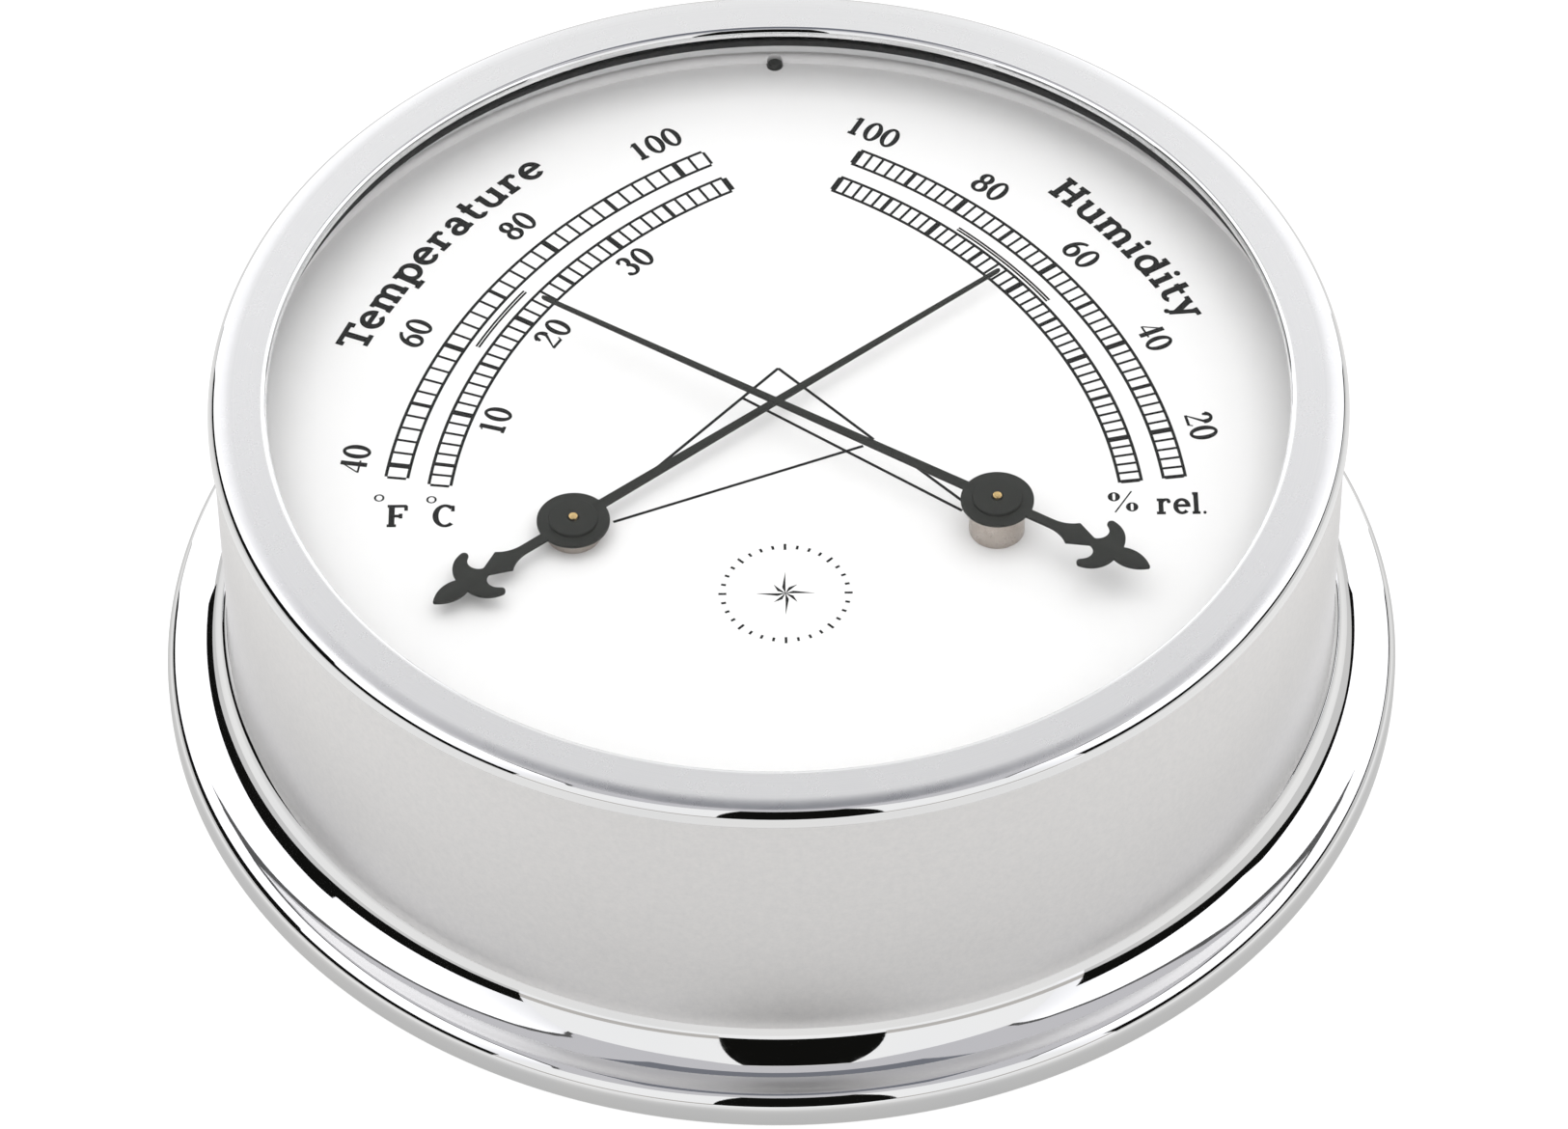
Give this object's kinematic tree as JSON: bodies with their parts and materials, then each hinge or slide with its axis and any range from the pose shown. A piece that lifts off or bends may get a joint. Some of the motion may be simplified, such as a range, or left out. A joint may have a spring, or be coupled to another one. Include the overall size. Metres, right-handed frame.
{
  "type": "dial hygrometer",
  "caption": "Round chromed case with a flat flange, glass front and two crossing pointers that read temperature and relative humidity on arc scales.",
  "frame": {"origin": "centre of the back face, on the plane that the flange rests on", "axes": "+Z out of the dial along the case's axis, +Y towards 12 o'clock, +X towards 3 o'clock"},
  "size_m": [0.12, 0.12, 0.0372],
  "materials": {
    "chrome": "bright polished chrome plate on turned brass, the bezel's flat face finely satined",
    "clear_glass": "flat clear mineral glass",
    "black_rubber": "matt black rubber",
    "dial_white": "matt white enamel",
    "hand_black": "satin black lacquer on steel",
    "nickel": "fine-turned nickel-plated brass",
    "brass": "turned and brushed brass",
    "bright_steel": "zinc-plated steel, lightly brushed",
    "bimetal": "rolled bimetal strip, coppery on one side",
    "hygroscopic_foil": "metal strip coated with a matt hygroscopic film",
    "gauze": "fine grey dust gauze"
  },
  "bodies": {
    "case": {"case_shell": "chrome", "bezel_ring": "chrome", "glass": "clear_glass", "glass_gasket": "black_rubber", "glass_snap_ring": "bright_steel", "dial_plate": "dial_white", "dial_clamp_ring": "dial_white", "dial_locating_pin": "hand_black", "back_plate": "bright_steel", "vent_gauze": "gauze", "back_screw_1": "bright_steel", "back_screw_2": "bright_steel", "back_screw_3": "bright_steel", "back_screw_4": "bright_steel", "temperature_bush": "nickel", "temperature_bush_nut": "brass", "temperature_bracket": "brass", "temperature_rear_bush": "nickel", "humidity_bush": "nickel", "humidity_bush_nut": "brass", "humidity_bracket": "brass", "humidity_rear_bush": "nickel"},
    "temperature_adjusting_screw": {"temperature_adjuster": "brass"},
    "temperature_lever": {"temperature_regulator": "bright_steel", "temperature_coil_post": "brass", "temperature_coil": "bimetal"},
    "temperature_pointer": {"temperature_hand": "hand_black", "temperature_hub": "hand_black", "temperature_arbor": "brass", "temperature_coil_collet": "brass"},
    "humidity_adjusting_screw": {"humidity_adjuster": "brass"},
    "humidity_lever": {"humidity_regulator": "bright_steel", "humidity_coil_post": "brass", "humidity_coil": "hygroscopic_foil"},
    "humidity_pointer": {"humidity_hand": "hand_black", "humidity_hub": "hand_black", "humidity_arbor": "brass", "humidity_coil_collet": "brass"}
  },
  "joints": [
    {"name": "temperature_adjust", "type": "hinge", "parent": "case", "child": "temperature_adjusting_screw", "pos_m": [0.0204, -0.0025, 0.015], "axis": [0, 0, 1], "range_deg": [-40, 40]},
    {"name": "temperature_regulate", "type": "hinge", "parent": "case", "child": "temperature_lever", "pos_m": [0.0204, -0.0125, 0.0177], "axis": [0, 0, 1], "range_deg": [-2, 2]},
    {"name": "temperature_turn", "type": "hinge", "parent": "temperature_lever", "child": "temperature_pointer", "pos_m": [0.0204, -0.0125, 0.034], "axis": [0, 0, 1], "range_deg": [-29.2, 25.5], "stiffness_Nm_per_rad": 0.0002},
    {"name": "humidity_adjust", "type": "hinge", "parent": "case", "child": "humidity_adjusting_screw", "pos_m": [-0.0194, -0.0025, 0.015], "axis": [0, 0, 1], "range_deg": [-40, 40]},
    {"name": "humidity_regulate", "type": "hinge", "parent": "case", "child": "humidity_lever", "pos_m": [-0.0194, -0.0125, 0.0177], "axis": [0, 0, 1], "range_deg": [-2, 2]},
    {"name": "humidity_turn", "type": "hinge", "parent": "humidity_lever", "child": "humidity_pointer", "pos_m": [-0.0194, -0.0125, 0.0318], "axis": [0, 0, 1], "range_deg": [-32, 22.8], "stiffness_Nm_per_rad": 0.0002}
  ],
  "couplings": [
    {"joint": "temperature_regulate", "follows": "temperature_adjust", "ratio": 0.0476},
    {"joint": "humidity_regulate", "follows": "humidity_adjust", "ratio": 0.0476}
  ]
}
